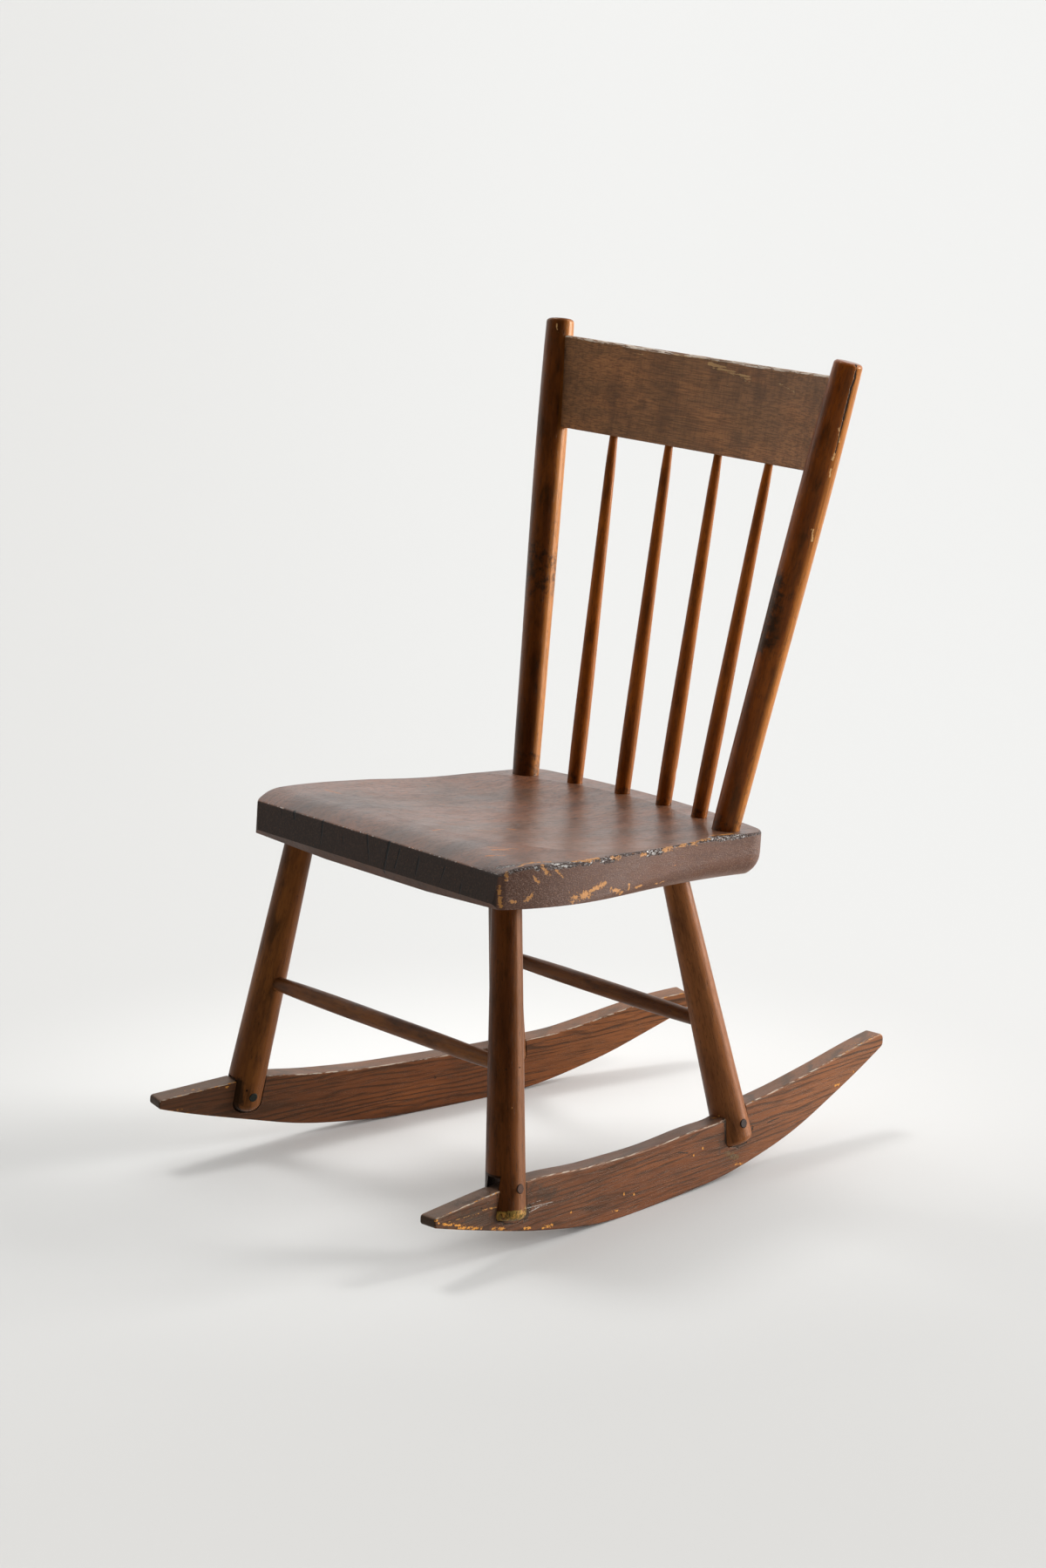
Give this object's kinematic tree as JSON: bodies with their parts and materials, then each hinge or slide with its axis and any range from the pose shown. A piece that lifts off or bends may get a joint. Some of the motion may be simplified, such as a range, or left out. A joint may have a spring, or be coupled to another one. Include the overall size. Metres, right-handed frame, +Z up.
{
  "type": "rocking chair",
  "caption": "Armless wooden rocking chair with a dished plank seat, a fanned spindle back under a bent crest rail, and turned legs forked over sawn rockers.",
  "frame": {"origin": "on the floor, midway between the two rockers and half way along them", "axes": "+X to the sitter's left, across the chair; +Y from the front of the seat towards its back; +Z up"},
  "size_m": [0.467, 0.6861, 0.8443],
  "materials": {
    "seat_wood": "old red-brown stain, worn satin",
    "turned_wood": "old red-brown stain, satin varnish",
    "leg_wood": "old dark brown stain, worn satin",
    "rocker_wood": "old red-brown stain, worn edges",
    "pin_iron": "dull, dark, a little tarnished"
  },
  "bodies": {
    "root": {"seat": "seat_wood", "crest_rail": "turned_wood", "spindle_1": "turned_wood", "spindle_2": "turned_wood", "spindle_3": "turned_wood", "spindle_4": "turned_wood", "back_post_left": "turned_wood", "back_post_right": "turned_wood", "rocker_left": "rocker_wood", "rocker_right": "rocker_wood", "front_leg_left": "leg_wood", "front_leg_right": "leg_wood", "rear_leg_left": "leg_wood", "rear_leg_right": "leg_wood", "front_leg_left_pin": "pin_iron", "front_leg_right_pin": "pin_iron", "rear_leg_left_pin": "pin_iron", "rear_leg_right_pin": "pin_iron", "front_stretcher": "leg_wood", "rear_stretcher": "leg_wood"}
  },
  "joints": []
}
